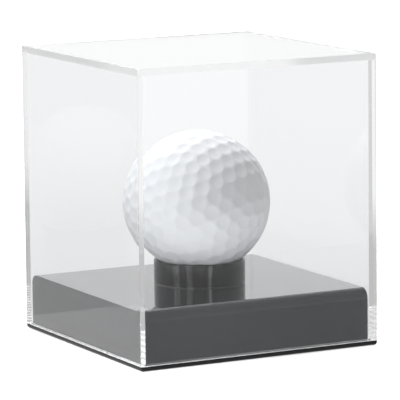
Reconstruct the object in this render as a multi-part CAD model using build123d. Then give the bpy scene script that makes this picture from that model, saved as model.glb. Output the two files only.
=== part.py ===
from build123d import *
import os
from itertools import combinations
from math import radians, sin, sqrt

# Display case for one golf ball, standing on its base plate. Millimetres, +Z up, front towards -Y.
# The origin is the middle of the base plate's underside.

# Clear cover: a box of five flat panels, open below, that stands on the base plate
cover_width = 78.0  # outside, along X
cover_depth = 78.0  # outside, along Y
cover_height = 85.3  # from the base plate to the top
wall_sheet = 2.0  # thickness of the four walls
top_sheet = 2.0  # thickness of the top panel
lead_in = 0.5  # chamfer inside the walls' lower edge, which guides the cover over the riser

# Base plate: flush with the cover all round
base_thickness = 1.5
base_edge_radius = 1.0  # along its lower edge

# Riser: a hollow cap that fills the inside of the cover and keeps it in place
riser_height = 15.5
riser_clearance = 0.3  # to the cover's walls, on each side
riser_wall = 2.5
riser_edge_radius = 3.0  # the front and back edges of its top, the side edges are sharp
riser_inside_radius = 0.5  # the front and back upper edges of its hollow

# Ring that the ball stands in
ring_outer_diameter = 27.4
ring_wall = 1.2
ring_height = 7.0
ring_edge_radius = 0.25  # both edges of its rim

# Golf ball of two layers, with its dimples in rows between the corners of an icosahedron
ball_diameter = 42.67
ball_cover_thickness = 1.9
ball_seat_gap = 0.1  # between the ball and the ring's rim
dimple_depth = 0.2  # below the plane of its rim
dimple_land = 0.2  # the narrowest strip left between two dimples
dimple_steps = (1, 5)  # from one corner to the next, along the rows and then across them
ball_turns = (20.91, -11.75, -24.6)  # degrees that the ball is turned about X, then Y, then Z

# Sizes that follow
wall_height = cover_height - top_sheet
inner_width = cover_width - 2 * wall_sheet
inner_depth = cover_depth - 2 * wall_sheet
riser_width = inner_width - 2 * riser_clearance
riser_depth = inner_depth - 2 * riser_clearance
riser_top = base_thickness + riser_height
ring_top = riser_top + ring_height
ring_inner_radius = ring_outer_diameter / 2 - ring_wall
ball_radius = ball_diameter / 2
plug_margin = dimple_land / 4  # a dimple's cutter is this much wider, so that it leaves no sliver
rounding_error = 1e-9  # lets the points on a face's own edges count as inside it
length_tolerance = 1.01  # edges within one per cent of the shortest are edges of the icosahedron

upwards = (Align.CENTER, Align.CENTER, Align.MIN)  # centred on the Z axis, standing on z = 0


def block(width, depth, height, bottom):
    """A block centred on the Z axis that stands on the plane z = bottom."""
    return Pos(0, 0, bottom) * Box(width, depth, height, align=upwards)


def top_face(solid):
    return solid.faces().sort_by(Axis.Z)[-1]


def bottom_face(solid):
    return solid.faces().sort_by(Axis.Z)[0]


def make_cover_shell():
    """The cover in one, with the lead-in cut round the inside of its mouth."""
    outside = block(cover_width, cover_depth, cover_height, base_thickness)
    inside = block(inner_width, inner_depth, wall_height, base_thickness)
    shell = outside - inside
    mouth = bottom_face(shell).inner_wires()[0]
    return chamfer(mouth.edges(), lead_in)


def make_cover_panels():
    """The cover cut at its joints: the top lies on the walls, the sides stand between front and back."""
    shell = make_cover_shell()
    side_x = (cover_width - wall_sheet) / 2
    front_y = (cover_depth - wall_sheet) / 2
    lid = block(cover_width, cover_depth, top_sheet, base_thickness + wall_height)
    long_wall = block(cover_width, wall_sheet, wall_height, base_thickness)
    side_wall = block(wall_sheet, inner_depth, wall_height, base_thickness)
    return {
        "cover_top_panel": shell & lid,
        "cover_front_panel": shell & Pos(0, -front_y, 0) * long_wall,
        "cover_back_panel": shell & Pos(0, front_y, 0) * long_wall,
        "cover_left_panel": shell & Pos(-side_x, 0, 0) * side_wall,
        "cover_right_panel": shell & Pos(side_x, 0, 0) * side_wall,
    }


def make_base_plate():
    plate = block(cover_width, cover_depth, base_thickness, 0)
    return fillet(bottom_face(plate).edges(), base_edge_radius)


def make_riser():
    """A cap, open below, whose sheet turns down in a round bend along the front and along the back."""
    cap = block(riser_width, riser_depth, riser_height, base_thickness)
    cap = fillet(top_face(cap).edges().filter_by(Axis.X), riser_edge_radius)
    hollow = block(
        riser_width - 2 * riser_wall,
        riser_depth - 2 * riser_wall,
        riser_height - riser_wall,
        base_thickness,
    )
    return cap - fillet(top_face(hollow).edges().filter_by(Axis.X), riser_inside_radius)


def make_ball_ring():
    outside = Cylinder(ring_outer_diameter / 2, ring_height, align=upwards)
    bore = Cylinder(ring_inner_radius, ring_height, align=upwards)
    ring = outside - bore
    return Pos(0, 0, riser_top) * fillet(top_face(ring).edges(), ring_edge_radius)


def ball_centre():
    """The height at which the ball's middle comes to rest, with its gap to the ring's rounded rim."""
    reach = ball_radius + ball_seat_gap + ring_edge_radius
    return ring_top - ring_edge_radius + sqrt(reach**2 - (ring_inner_radius + ring_edge_radius) ** 2)


def icosahedron_faces():
    """The twenty faces, each as three unit vectors, counterclockwise when seen from outside."""
    golden = (1 + sqrt(5)) / 2
    corners = []
    for a in (-1, 1):
        for b in (-golden, golden):
            corners += [Vector(0, a, b), Vector(a, b, 0), Vector(b, 0, a)]
    corners = [corner.normalized() for corner in corners]
    edge = min((p - q).length for p, q in combinations(corners, 2))
    faces = []
    for p, q, r in combinations(corners, 3):
        longest = max((p - q).length, (q - r).length, (r - p).length)
        if longest < length_tolerance * edge:
            faces.append((p, q, r) if p.cross(q).dot(r) > 0 else (p, r, q))
    return faces


def dimple_directions():
    """Unit vectors from the ball's middle to its dimples, on a triangular lattice over each face.

    A lattice point has a share in each corner of its face. It is the sum of the corners, each times
    the sine of its share of the edge's angle, which keeps the rows evenly spaced on the sphere.
    """
    along, across = dimple_steps
    cells = along**2 + along * across + across**2
    found = {}
    for p, q, r in icosahedron_faces():
        edge_angle = radians(p.get_angle(q))
        for i in range(-across, along + 1):
            for j in range(along + 2 * across + 1):
                share_q = (i * (along + across) + j * across) / cells
                share_r = (j * along - i * across) / cells
                shares = (1 - share_q - share_r, share_q, share_r)
                if min(shares) < -rounding_error:
                    continue
                weights = [sin(share * edge_angle) for share in shares]
                spot = (p * weights[0] + q * weights[1] + r * weights[2]).normalized()
                place = tuple(round(value, 4) + 0.0 for value in spot)  # the same from either face
                found[place] = spot
    return list(found.values())


def dimple_cutter(direction, rim_radius):
    """A plug with a round bottom that cuts one dimple. It stays clear of its neighbours' plugs."""
    rim_height = sqrt(ball_radius**2 - rim_radius**2)
    bottom_radius = (rim_radius**2 + dimple_depth**2) / (2 * dimple_depth)
    bottom = Pos(0, 0, rim_height - dimple_depth + bottom_radius) * Sphere(bottom_radius)
    plug_foot = rim_height - 2 * dimple_depth  # below the round bottom
    plug_length = ball_radius + dimple_depth - plug_foot  # to above the ball
    plug = Cylinder(rim_radius + plug_margin, plug_length, align=upwards)
    return Plane(origin=(0, 0, 0), z_dir=direction) * (Pos(0, 0, plug_foot) * plug & bottom)


def make_ball_cover():
    """The outer layer, on a round whose poles lie in two dimples, where its surface is cut away."""
    directions = dimple_directions()
    cutters = []
    for direction in directions:
        nearest = min((direction - other).length for other in directions if other is not direction)
        rim_radius = (nearest * ball_radius - dimple_land) / 2
        cutters.append(dimple_cutter(direction, rim_radius))
    pole = icosahedron_faces()[0][0]
    ball_round = Plane(origin=(0, 0, 0), z_dir=pole) * Sphere(ball_radius)
    return seat_ball(ball_round - cutters - make_core_round())


def make_core_round():
    return Sphere(ball_radius - ball_cover_thickness)


def seat_ball(layer):
    """Turns a layer of the ball as the ball lies and sets it in the ring."""
    for axis, angle in zip((Axis.X, Axis.Y, Axis.Z), ball_turns):
        layer = layer.rotate(axis, angle)
    return Pos(0, 0, ball_centre()) * layer


parts = {
    **make_cover_panels(),
    "base_plate": make_base_plate(),
    "riser": make_riser(),
    "ball_ring": make_ball_ring(),
    "golf_ball_cover": make_ball_cover(),
    "golf_ball_core": seat_ball(make_core_round()),
}

os.makedirs("parts", exist_ok=True)
for name, solid in parts.items():
    export_step(solid, f"parts/{name}.step")
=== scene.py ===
from itertools import combinations
from math import radians, sqrt

import bpy
import numpy as np
from mathutils import Euler, Matrix, Vector


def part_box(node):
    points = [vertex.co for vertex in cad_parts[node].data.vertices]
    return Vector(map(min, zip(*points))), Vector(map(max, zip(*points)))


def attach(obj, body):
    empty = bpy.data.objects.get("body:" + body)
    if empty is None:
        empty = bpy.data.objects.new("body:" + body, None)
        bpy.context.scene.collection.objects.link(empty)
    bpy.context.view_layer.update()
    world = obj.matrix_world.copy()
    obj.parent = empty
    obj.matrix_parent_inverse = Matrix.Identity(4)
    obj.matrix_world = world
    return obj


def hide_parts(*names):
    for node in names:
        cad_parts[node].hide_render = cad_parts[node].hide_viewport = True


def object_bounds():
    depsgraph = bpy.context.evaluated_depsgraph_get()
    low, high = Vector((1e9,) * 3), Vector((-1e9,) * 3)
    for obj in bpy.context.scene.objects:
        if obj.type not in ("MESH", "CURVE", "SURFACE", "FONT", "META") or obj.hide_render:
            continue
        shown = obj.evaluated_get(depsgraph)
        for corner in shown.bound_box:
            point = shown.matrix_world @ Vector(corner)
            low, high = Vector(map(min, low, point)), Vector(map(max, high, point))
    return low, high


# A clear display case for one golf ball. Metres, +Z up, front wall towards -Y.
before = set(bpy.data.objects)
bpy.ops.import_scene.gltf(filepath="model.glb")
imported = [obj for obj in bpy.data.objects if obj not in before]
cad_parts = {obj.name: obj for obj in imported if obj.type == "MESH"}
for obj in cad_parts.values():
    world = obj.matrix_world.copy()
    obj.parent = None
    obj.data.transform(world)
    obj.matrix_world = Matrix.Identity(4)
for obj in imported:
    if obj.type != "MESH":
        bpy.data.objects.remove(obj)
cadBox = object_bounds()
mm = 0.001
print("frame:", sorted(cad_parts))


def addObject(name, data):
    obj = bpy.data.objects.new(name, data)
    bpy.context.scene.collection.objects.link(obj)
    return obj


def addMesh(name, points, faces, mat):
    mesh = bpy.data.meshes.new(name)
    mesh.from_pydata(points, [], faces)
    mesh.materials.append(mat)
    return addObject(name, mesh)


def wear(node, mat):
    node.data.materials.clear()
    node.data.materials.append(mat)


# Camera, where the straight edges of the case and the ball's outline in the picture put it
camera = {
    "place": (-443.0 * mm, -850.0 * mm, 188.6 * mm),
    "yaw": -27.57,  # degrees, turned to the right of +Y
    "pitch": -8.725,  # degrees, looks down
    "roll": -0.65,  # degrees
    "focal": 291.96,  # mm, on a sensor of the width below
    "sensor": 36,  # mm
    "clip": (0.01, 20),  # metres, the nearest and the farthest that it sees
}


def makeCamera():
    data = bpy.data.cameras.new("camera")
    data.lens = camera["focal"]
    data.sensor_width = camera["sensor"]
    data.clip_start, data.clip_end = camera["clip"]
    aim = Euler((radians(90 + camera["pitch"]), 0, radians(camera["yaw"]))).to_matrix()
    aim = aim @ Matrix.Rotation(radians(camera["roll"]), 3, "Z")
    cam = addObject("camera", data)
    cam.matrix_world = Matrix.Translation(camera["place"]) @ aim.to_4x4()
    bpy.context.scene.camera = cam


# A node tree with short ways to add the nodes that the materials share
class Tree:
    def __init__(self, tree):
        self.nodes = tree.nodes
        self.links = tree.links

    def add(self, kind, *values, **settings):
        node = self.nodes.new(kind)
        for name, value in settings.items():
            setattr(node, name, value)
        for socket, value in zip(node.inputs, values):
            self.feed(socket, value)
        return node

    def feed(self, socket, value):  # links a node's output or sets a plain value, None leaves it be
        if isinstance(value, bpy.types.NodeSocket):
            self.links.new(value, socket)
        elif value is not None:
            socket.default_value = value

    def math(self, kind, *values):
        return self.add("ShaderNodeMath", *values, operation=kind).outputs[0]

    def vector(self, kind, *values):
        return self.add("ShaderNodeVectorMath", *values, operation=kind)

    def dot(self, vector, axis):
        return self.vector("DOT_PRODUCT", vector, axis).outputs["Value"]

    def split(self, vector):
        return self.add("ShaderNodeSeparateXYZ", vector).outputs

    def lightPath(self):
        return self.nodes.new("ShaderNodeLightPath").outputs

    def noise(self, coords, scale, detail):
        node = self.add("ShaderNodeTexNoise", coords)
        node.inputs["Scale"].default_value = scale  # per metre
        node.inputs["Detail"].default_value = detail
        return node.outputs["Fac"]

    def span(self, value, low, high):  # 0 to 1 becomes low to high
        return self.math("MULTIPLY_ADD", value, high - low, low)

    def step(self, value, place, width):  # from 0 to 1 as the value passes the place
        node = self.add("ShaderNodeMapRange", value, place - width / 2, place + width / 2)
        return node.outputs[0]

    def fade(self, distance, fall):  # e to the power of minus the distance over the fall
        return self.math("EXPONENT", self.math("MULTIPLY", distance, -1 / fall))

    def mix(self, share, first, second):
        node = self.add("ShaderNodeMix", share, None, first, second, data_type="FLOAT")
        return node.outputs[0]

    def mixColors(self, share, first, second):
        node = self.add("ShaderNodeMix", share, data_type="RGBA")
        self.feed(node.inputs[6], first)
        self.feed(node.inputs[7], second)
        return node.outputs[2]

    def bump(self, height, distance):
        node = self.nodes.new("ShaderNodeBump")
        self.feed(node.inputs["Distance"], distance)
        self.feed(node.inputs["Height"], height)
        return node.outputs["Normal"]

    def surface(self, share, first, second):  # shows the second shader by the share, else the first
        mixed = self.add("ShaderNodeMixShader", share, first, second).outputs[0]
        self.feed(self.nodes["Material Output"].inputs["Surface"], mixed)


def newMaterial(name, settings):
    mat = bpy.data.materials.new(name)
    mat.use_nodes = True
    tree = Tree(mat.node_tree)
    shader = tree.nodes["Principled BSDF"]
    for socket, value in settings.items():
        shader.inputs[socket].default_value = value
    coords = tree.nodes.new("ShaderNodeTexCoord").outputs["Object"]
    return mat, tree, shader, coords


# Clear acrylic, polished on its faces, with the lid's sawn edges dulled and the walls' sawn feet
# opaque white, a painted reflection of the bright line along them
clear = {
    "ior": 1.49,
    "tint": (0.985, 0.99, 0.994, 1),
    "edgeRoughness": 0.3,  # of the lid's four edges
    "footPaintedWhite": 1.0,  # how white the walls' lower edges are, which are left as sawn; the white is a painted reflection
    "waves": 14.0,  # per metre, the slow waves in a cast sheet
    "waveDetail": 0.0,
    "waveHeight": 0.004 * mm,
    "near": 0.01 * mm,  # a point this near to a face counts as on it
}


def makeClear():
    settings = {"Base Color": clear["tint"], "IOR": clear["ior"]}
    mat, tree, shader, coords = newMaterial("clearAcrylic", settings)
    waves = tree.noise(coords, clear["waves"], clear["waveDetail"])
    tree.feed(shader.inputs["Normal"], tree.bump(waves, clear["waveHeight"]))

    # the lid's four edges lie above the walls' tops and right at the outside
    x, y, z = tree.split(coords)
    x = tree.math("ABSOLUTE", x)
    y = tree.math("ABSOLUTE", y)
    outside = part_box("cover_top_panel")[1].x
    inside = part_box("cover_left_panel")[1].y  # the same along X
    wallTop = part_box("cover_top_panel")[0].z
    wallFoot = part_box("cover_left_panel")[0].z
    near = clear["near"]
    atOutside = tree.math("GREATER_THAN", tree.math("MAXIMUM", x, y), outside - near)
    lidEdge = tree.math("MULTIPLY", atOutside, tree.math("GREATER_THAN", z, wallTop + near))
    dulled = tree.math("MULTIPLY", lidEdge, clear["edgeRoughness"])
    tree.feed(shader.inputs["Roughness"], dulled)
    # the walls' feet turn opaque white: a painted reflection of the bright line along the sheets'
    # bottom edges
    foot = tree.math("LESS_THAN", z, wallFoot + near)
    tree.feed(shader.inputs["Transmission Weight"], tree.span(foot, 1.0, 1 - clear["footPaintedWhite"]))

    # a cemented joint is one block of acrylic to the light, so it passes the faces that meet there
    beyondX = tree.math("GREATER_THAN", x, inside - near)
    beyondY = tree.math("GREATER_THAN", y, inside - near)
    atWallTop = tree.math("COMPARE", z, wallTop, near)
    lidJoint = tree.math("MULTIPLY", atWallTop, tree.math("MAXIMUM", beyondX, beyondY))
    sideJoint = tree.math("MULTIPLY", tree.math("COMPARE", y, inside, near), beyondX)
    joint = tree.math("MAXIMUM", lidJoint, sideJoint)

    # shadows and the light of matt surfaces go straight through the sheets
    light = tree.lightPath()
    straight = tree.math("MAXIMUM", light["Is Shadow Ray"], light["Is Diffuse Ray"])
    through = tree.nodes.new("ShaderNodeBsdfTransparent").outputs[0]
    tree.surface(tree.math("MAXIMUM", straight, joint), shader.outputs[0], through)
    return mat


# Glossy black acrylic. Fingers and cloths leave faint smears and hairline scratches on it.
black = {
    "smears": 55.0,  # per metre
    "smearDetail": 3.0,
    "scratches": (40, 1900, 400),  # per metre along X, Y and Z, then turned about Z
    "scratchTurn": 24,  # degrees
    "scratchDetail": 1.0,
    "scratchesFrom": 0.72,  # the level that the noise has to pass to leave one
}
riser = {
    "color": (0.010, 0.0104, 0.012, 1),
    "roughness": (0.02, 0.05),
    "coat": 0.8,
    "scratchDepth": 0.002 * mm,
}
ring = {
    "color": (0.010, 0.0102, 0.0115, 1),
    "roughness": (0.05, 0.10),
    "coat": 0.0,
    "scratchDepth": 0.004 * mm,
    "bead": 0.35 * mm,  # height of the bead of cement round the ring's foot, painted lighter as a highlight
    # painted highlight: the bead's lighter grey stands for the light caught along the ring's foot
    "beadHighlightColor": (0.12, 0.12, 0.123, 1),
}
plate = {
    "color": (0.003, 0.003, 0.0035, 1),
    "roughness": (0.06, 0.14),
    "coat": 0.0,
    "scratchDepth": 0.004 * mm,
    "edgeRadius": 1.0 * mm,  # along the lower edge
    "edgeSteps": 8,  # round that edge
    "bevel": 0.12 * mm,  # along the upper edge
    "gap": 0.03 * mm,  # to the cover, which only touches it in a few places
    "sharpFrom": 30,  # degrees between two faces, from which their edge stays sharp
}


def makeBlack(name, piece):
    settings = {"Base Color": piece["color"], "IOR": clear["ior"], "Coat Weight": piece["coat"]}
    mat, tree, shader, coords = newMaterial(name, settings)
    # a bead of cement round the ring's foot, its lighter grey a painted highlight along that seam
    if "bead" in piece:
        height = tree.split(coords)[2]
        bead = tree.math("LESS_THAN", height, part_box("ball_ring")[0].z + piece["bead"])
        color = tree.mixColors(bead, piece["color"], piece["beadHighlightColor"])
        tree.feed(shader.inputs["Base Color"], color)
    smears = tree.noise(coords, black["smears"], black["smearDetail"])
    tree.feed(shader.inputs["Roughness"], tree.span(smears, *piece["roughness"]))
    stretched = tree.add("ShaderNodeMapping", coords)
    stretched.inputs["Rotation"].default_value = (0, 0, radians(black["scratchTurn"]))
    stretched.inputs["Scale"].default_value = black["scratches"]
    streaks = tree.noise(stretched.outputs[0], 1.0, black["scratchDetail"])
    scratches = tree.math("GREATER_THAN", streaks, black["scratchesFrom"])
    tree.feed(shader.inputs["Normal"], tree.bump(scratches, piece["scratchDepth"]))
    return mat


def makePlate(mat):
    # a square outline carried up a profile: round the lower edge, where the inset is the radius
    # times 1 - sin and the height the radius times 1 - cos, up the side and over the bevel
    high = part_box("base_plate")[1]
    half = high.x
    top = high.z - plate["gap"]
    radius, bevel = plate["edgeRadius"], plate["bevel"]
    turn = np.linspace(0, np.pi / 2, plate["edgeSteps"] + 1)
    inset = np.append(radius * (1 - np.sin(turn)), [0, bevel])
    height = np.append(radius * (1 - np.cos(turn)), [top - bevel, top])
    corners = np.array([(-1, -1), (1, -1), (1, 1), (-1, 1)])
    points = np.empty((len(inset), 4, 3))
    points[:, :, :2] = corners * (half - inset)[:, None, None]
    points[:, :, 2] = height[:, None]

    rows = 4 * np.arange(len(inset) - 1)[:, None]
    start = rows + np.arange(4)
    after = rows + (np.arange(4) + 1) % 4
    sides = np.stack([start, after, after + 4, start + 4], -1).reshape(-1, 4)
    underside = [[3, 2, 1, 0]]
    topside = [[4 * (len(inset) - 1) + corner for corner in range(4)]]
    faces = sides.tolist() + underside + topside
    piece = addMesh("basePlateRounded", points.reshape(-1, 3).tolist(), faces, mat)
    piece.data.shade_smooth()
    piece.data.set_sharp_from_angle(angle=radians(plate["sharpFrom"]))
    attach(piece, "base")
    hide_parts("base_plate")


# Golf ball, turned as it lies
ball = {
    "radius": 42.67 / 2 * mm,
    "dimpleDepth": 0.2 * mm,  # below the plane of the rim
    "land": 0.2 * mm,  # narrowest strip between two dimples
    "steps": (1, 5),  # lattice steps from one corner of the icosahedron to the next
    "turns": (20.91, -11.75, -24.6),  # degrees about X, then Y, then Z
    "rimRound": 0.008 * mm,  # how far paint rounds the rims off
    "cells": 126,  # grid cells along a side of each patch
}
paint = {
    "colors": ((0.82, 0.84, 0.87, 1), (0.86, 0.875, 0.9, 1)),
    "roughness": (0.30, 0.38),
    "mottling": 160.0,  # per metre, faint, in both of these
    "mottlingDetail": 4.0,
    "grain": 900.0,  # per metre
    "grainDetail": 2.0,
    "grainDepth": 0.004 * mm,
}
rubber = {  # of the core
    "color": (0.23, 0.25, 0.28, 1),
    "roughness": (0.6, 0.85),
    "grain": 700.0,  # per metre
    "grainDetail": 4.0,
    "grainDepth": 0.03 * mm,
}


def dimpleDirections():
    # a triangular lattice over each face of an icosahedron: a point is the sum of the face's
    # corners, each times the sine of its share of the edge's angle
    rounding = 1e-9  # lets the points on a face's own edges count as inside it
    edgeTolerance = 1.01  # edges within one per cent of the shortest are the icosahedron's
    sameDigits = 4  # spots that agree to this many decimals are one, found from two faces
    golden = (1 + sqrt(5)) / 2
    corners = []
    for a in (-1, 1):
        for b in (-golden, golden):
            corners += [(0, a, b), (a, b, 0), (b, 0, a)]
    corners = np.array(corners) / sqrt(1 + golden**2)
    edge = min(np.linalg.norm(p - q) for p, q in combinations(corners, 2))
    edgeAngle = 2 * np.arcsin(edge / 2)
    along, across = ball["steps"]
    cells = along * along + along * across + across * across
    onceAlong = np.arange(-across, along + 1)
    onceAcross = np.arange(along + 2 * across + 1)
    i, j = np.meshgrid(onceAlong, onceAcross, indexing="ij")
    shareQ = (i * (along + across) + j * across) / cells
    shareR = (j * along - i * across) / cells
    shares = np.stack([1 - shareQ - shareR, shareQ, shareR], -1).reshape(-1, 3)
    shares = shares[shares.min(1) > -rounding]
    spots = []
    for p, q, r in combinations(corners, 3):
        longest = max(np.linalg.norm(p - q), np.linalg.norm(q - r), np.linalg.norm(r - p))
        if longest < edgeTolerance * edge:
            face = [p, q, r] if np.cross(p, q) @ r > 0 else [p, r, q]
            spots.append(np.sin(shares * edgeAngle) @ np.array(face))
    spots = np.concatenate(spots)
    spots /= np.linalg.norm(spots, axis=1)[:, None]
    rounded = np.round(spots, sameDigits) + 0.0  # which makes -0.0 into 0.0
    first = np.unique(rounded, axis=0, return_index=True)[1]
    return spots[np.sort(first)]


def makeRound():
    # six patches of a cube blown up to a sphere, each a function of two angles from -45 to 45
    # degrees: the point (1, tan of one, tan of the other) brought to length 1
    weldDigits = 7  # points that agree to this many decimals are one
    n = ball["cells"]
    tangent = np.tan(np.linspace(-np.pi / 4, np.pi / 4, n + 1))
    u, v = np.meshgrid(tangent, tangent, indexing="ij")
    one = np.ones_like(u)
    patches = [(one, u, v), (-one, v, u), (v, one, u), (u, -one, v), (u, v, one), (v, u, -one)]
    points = np.concatenate([np.stack(patch, -1).reshape(-1, 3) for patch in patches])
    points /= np.linalg.norm(points, axis=1)[:, None]
    start = np.arange(n * (n + 1)).reshape(n, n + 1)[:, :-1].ravel()
    quad = np.stack([start, start + n + 1, start + n + 2, start + 1], -1)
    quads = np.concatenate([quad + patch * (n + 1) ** 2 for patch in range(6)])
    rounded = np.round(points, weldDigits) + 0.0  # which makes -0.0 into 0.0
    welded, places = np.unique(rounded, axis=0, return_inverse=True)
    return welded, places.ravel()[quads]


def dimpleDepths(points):
    # under the ball's round, a dimple is a bowl: its deepest times 1 less the square of the angle
    # over the rim's angle. The mean of the bowl and the root of its square plus rimRound's square
    # softens it where it meets the land.
    spots = dimpleDirections()
    radius = ball["radius"]
    apart = np.linalg.norm(spots[:, None] - spots[None], axis=2)
    np.fill_diagonal(apart, np.inf)
    rim = (apart.min(1) * radius - ball["land"]) / 2
    bulge = radius - np.sqrt(radius**2 - rim**2)
    deepest = ball["dimpleDepth"] + bulge
    rimAngle = np.arcsin(rim / radius)
    angle = np.arccos(np.clip(points @ spots.T, -1, 1))
    bowl = (deepest * (1 - (angle / rimAngle) ** 2)).max(1)
    print("dimples:", len(spots))
    return (bowl + np.sqrt(bowl**2 + ball["rimRound"] ** 2)) / 2


def makeBall(mat):
    # each direction times the radius less the dimples' depth there, turned and set round the core
    directions, faces = makeRound()
    radii = ball["radius"] - dimpleDepths(directions)
    turn = np.array(Euler([radians(angle) for angle in ball["turns"]]).to_matrix())
    low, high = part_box("golf_ball_core")
    points = (directions * radii[:, None]) @ turn.T + np.array((low + high) / 2)
    piece = addMesh("golfBallDimpled", points.tolist(), faces.tolist(), mat)
    piece.data.shade_smooth()
    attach(piece, "ball")
    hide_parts("golf_ball_cover")


def makePaint():
    mat, tree, shader, coords = newMaterial("ballPaint", {})
    mottling = tree.noise(coords, paint["mottling"], paint["mottlingDetail"])
    tree.feed(shader.inputs["Base Color"], tree.mixColors(mottling, *paint["colors"]))
    tree.feed(shader.inputs["Roughness"], tree.span(mottling, *paint["roughness"]))
    grain = tree.noise(coords, paint["grain"], paint["grainDetail"])
    tree.feed(shader.inputs["Normal"], tree.bump(grain, paint["grainDepth"]))
    return mat


def makeRubber():
    mat, tree, shader, coords = newMaterial("coreRubber", {"Base Color": rubber["color"]})
    grain = tree.noise(coords, rubber["grain"], rubber["grainDetail"])
    tree.feed(shader.inputs["Roughness"], tree.span(grain, *rubber["roughness"]))
    tree.feed(shader.inputs["Normal"], tree.bump(grain, rubber["grainDepth"]))
    return mat


# Pale paper floor. Levels of 1 are white. What mirrors and matt surfaces get from it is set apart.
floor = {
    "size": 6.0,
    "paper": (0.75, 0.75, 0.75, 1),
    "glow": 0.4,  # lifts the paper to white for the camera by this near the case, by 1 far off
    "level": 0.985,  # as seen through the sheets, far from the case
    "nearCaseShade": -0.14,  # added to that close to the case, a painted shadow of the case
    "fall": 0.2,  # metres over which that passes
    "backLeftLight": 0.02,  # added towards the back left, taken away towards the front right: painted light, brighter on the side the light comes from
    "backLeft": (-0.7071, 0.7071, 0),
    "mirrorFrontShade": 0.48,  # in reflections, in front of the case, darker there as painted shade
    "mirrorFar": 0.9,  # further in front
    "mirrorFarFrom": 0.23,  # metres from the middle at which it is halfway to that
    "mirrorFarWidth": 0.12,  # metres
    "mirrorLeft": 0.78,  # beside the case, a painted pool of the light that the left wall throws on the paper
    "mirrorLeftWidth": 10 * mm,  # over which that begins
    "mirrorBehind": 0.6,  # past that light's far edge
    "lightEdge": 57 * mm,  # where that edge lies, along Y
    "lightEdgeWidth": 2 * mm,
    "paintedSoftboxesFrom": 0.122,  # metres from the middle beyond which the paper shows painted reflections of the softboxes
    "bounce": 0.28,  # on matt surfaces
    "bounceNearGlow": 0.2,  # added to that close to the case: a painted pool of light, the paper glowing there to light the ball from below
    "bounceFall": 0.08,  # metres
}

# Soft, pale room, a little darker on the camera's side
room = {
    "level": 0.8,  # in reflections
    "behind": 0.235,  # added behind the case, taken away on the camera's side
    "backwards": (0.46, 0.88, 0),
    "overhead": -0.43,  # added overhead
    "seenThrough": 0.97,  # straight through the sheets
    "sky": 0.07,  # on matt surfaces
    "skyLeft": 0.05,  # added on the upper left
    "upperLeft": (-0.75, 0.1, 0.65),
    "edgeShare": 0.85,  # how far mirror levels count inside one sheet, as near its edges
    "edgePasses": (2.0, 1.5),  # such light passes 2 faces of it, give or take 1
    "softboxTop": 0.35,  # the sine of the softboxes' height above the floor
}

# Tall softboxes that only mirrors show: azimuth from -X towards -Y and half their width, both in
# degrees, and the level that they add
softboxes = [
    (3.0, 8.0, 1.7),
    (37.0, 7.0, 1.8),
    (88.5, 4.5, 2.4),
]


def softboxGlow(tree, x, y):
    azimuth = tree.math("ARCTAN2", tree.math("MULTIPLY", y, -1.0), tree.math("MULTIPLY", x, -1.0))
    glow = 0.0
    for middle, halfWidth, level in softboxes:
        within = tree.math("COMPARE", azimuth, radians(middle), radians(halfWidth))
        glow = tree.math("MULTIPLY_ADD", within, level, glow)
    return glow


def isMirrored(tree, light):
    # 1 for light that has been reflected, the edge share if that was inside one sheet, else 0
    reflected = tree.math("GREATER_THAN", light["Glossy Depth"], 0.5)
    oneSheet = tree.math("COMPARE", light["Transmission Depth"], *room["edgePasses"])
    return tree.math("MULTIPLY", reflected, tree.span(oneSheet, 1.0, room["edgeShare"]))


def makeFloor():
    settings = {
        "Base Color": floor["paper"],
        "Roughness": 1.0,
        "Specular IOR Level": 0,
        "Emission Color": (1, 1, 1, 1),
    }
    mat, tree, shader, coords = newMaterial("floorPaper", settings)
    distance = tree.vector("LENGTH", coords).outputs["Value"]
    direction = tree.vector("NORMALIZE", coords).outputs[0]
    fading = tree.fade(distance, floor["fall"])
    tree.feed(shader.inputs["Emission Strength"], tree.span(fading, 1.0, floor["glow"]))

    # seen through the sheets: level, less a painted shadow that fades away from the case, plus
    # painted light towards the back left
    tone = tree.math("MULTIPLY_ADD", fading, floor["nearCaseShade"], floor["level"])
    toBackLeft = tree.dot(direction, floor["backLeft"])
    tone = tree.math("MULTIPLY_ADD", toBackLeft, floor["backLeftLight"], tone)

    # reflections: painted shade in front, lighter further off, and to the left a painted pool of
    # light that ends on a line along X
    x, y = tree.split(coords)[:2]
    leftSide = -cadBox[0][0]
    beyond = tree.step(y, floor["lightEdge"], floor["lightEdgeWidth"])
    left = tree.span(beyond, floor["mirrorLeft"], floor["mirrorBehind"])
    onLeft = tree.step(tree.math("MULTIPLY", x, -1.0), leftSide, floor["mirrorLeftWidth"])
    farOff = tree.step(distance, floor["mirrorFarFrom"], floor["mirrorFarWidth"])
    front = tree.span(farOff, floor["mirrorFrontShade"], floor["mirrorFar"])
    mirrored = tree.mix(onLeft, front, left)
    # past that the paper glows in the softboxes' bands for reflected light: a painted reflection
    paintedSoftboxesFrom = tree.math("GREATER_THAN", distance, floor["paintedSoftboxesFrom"])
    mirrored = tree.math("MULTIPLY_ADD", softboxGlow(tree, x, y), paintedSoftboxesFrom, mirrored)

    # matt surfaces: bounce, plus a painted pool of light that fades away from the case
    nearFading = tree.fade(distance, floor["bounceFall"])
    bounce = tree.span(nearFading, floor["bounce"], floor["bounce"] + floor["bounceNearGlow"])

    light = tree.lightPath()
    tone = tree.mix(isMirrored(tree, light), tone, mirrored)
    tone = tree.mix(light["Is Diffuse Ray"], tone, bounce)
    lit = tree.add("ShaderNodeEmission", None, tone).outputs[0]
    tree.surface(light["Is Camera Ray"], lit, shader.outputs[0])

    side = floor["size"] / 2
    corners = [(-side, -side, 0), (side, -side, 0), (side, side, 0), (-side, side, 0)]
    addMesh("floor", corners, [(0, 1, 2, 3)], mat)


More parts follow.
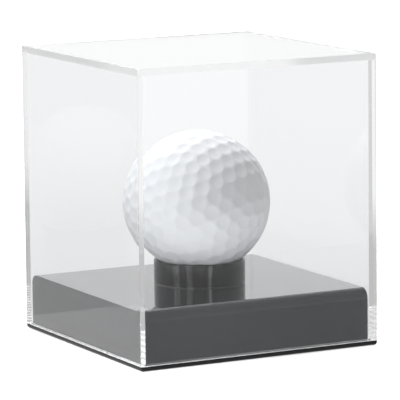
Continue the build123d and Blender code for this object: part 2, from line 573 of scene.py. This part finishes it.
def makeRoom():
    world = bpy.data.worlds.new("studio")
    bpy.context.scene.world = world
    world.use_nodes = True
    tree = Tree(world.node_tree)
    direction = tree.nodes.new("ShaderNodeTexCoord").outputs["Generated"]
    x, y, z = tree.split(direction)

    # reflections: level + behind * how far it lies backwards + overhead * height + the softboxes
    toBack = tree.dot(direction, room["backwards"])
    level = tree.math("MULTIPLY_ADD", toBack, room["behind"], room["level"])
    level = tree.math("MULTIPLY_ADD", z, room["overhead"], level)
    low = tree.math("LESS_THAN", z, room["softboxTop"])
    level = tree.math("MULTIPLY_ADD", softboxGlow(tree, x, y), low, level)

    light = tree.lightPath()
    level = tree.mix(isMirrored(tree, light), room["seenThrough"], level)
    toLeft = tree.dot(direction, room["upperLeft"])
    sky = tree.math("MULTIPLY_ADD", toLeft, room["skyLeft"], room["sky"])
    level = tree.mix(light["Is Diffuse Ray"], level, sky)
    level = tree.mix(light["Is Camera Ray"], level, 1.0)
    background = tree.nodes["Background"]
    background.inputs["Color"].default_value = (1, 1, 1, 1)
    tree.feed(background.inputs["Strength"], level)


# Name, place, width in metres, watts. They are square, aim at one spot and show in no mirror. The
# three cards lie on the floor and throw light up at the ball.
lamps = [
    ("topLamp", (-0.15, 0.08, 1.23), 0.4, 7.9),
    ("keyLamp", (-0.55, 0.28, 1.05), 0.1, 6.6),
    ("backLamp", (-0.13, 0.76, 0.96), 0.6, 5.0),
    ("rimLamp", (0.52, 0.90, 0.64), 0.4, 5.0),
    ("frontCard", (-0.02, -0.062, 0.004), 0.03, 0.02),
    ("leftCard", (-0.07, -0.025, 0.004), 0.04, 0.035),
    ("rightCard", (0.062, -0.05, 0.004), 0.03, 0.022),
]
lampAim = Vector((0, 0, 0.04))


def makeLamps():
    for name, place, size, power in lamps:
        data = bpy.data.lights.new(name, "AREA")
        data.shape = "SQUARE"
        data.size = size
        data.energy = power
        lamp = addObject(name, data)
        away = Vector(place) - lampAim
        aim = away.to_track_quat("Z", "Y").to_matrix().to_4x4()
        lamp.matrix_world = Matrix.Translation(place) @ aim
        lamp.visible_camera = False
        lamp.visible_glossy = False
        lamp.visible_transmission = False


scene = bpy.context.scene
scene.view_settings.view_transform = "Standard"
sheetBounces = 64  # light runs a long way inside the sheets before it leaves by an edge
scene.cycles.max_bounces = sheetBounces
scene.cycles.transmission_bounces = sheetBounces
scene.cycles.glossy_bounces = sheetBounces
scene.cycles.transparent_max_bounces = 32  # for the joints, and for shadows through the sheets
makeCamera()
print("camera: done")
makeFloor()
makeRoom()
makeLamps()
print("floor, room and lamps: done")

clearAcrylic = makeClear()
for name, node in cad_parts.items():
    if name.startswith("cover_"):
        wear(node, clearAcrylic)
print("cover: done")
wear(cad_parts["riser"], makeBlack("riserBlack", riser))
wear(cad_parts["ball_ring"], makeBlack("ringBlack", ring))
makePlate(makeBlack("plateBlack", plate))
print("base plate, riser and ring: done")
wear(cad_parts["golf_ball_core"], makeRubber())
makeBall(makePaint())
print("ball: done")
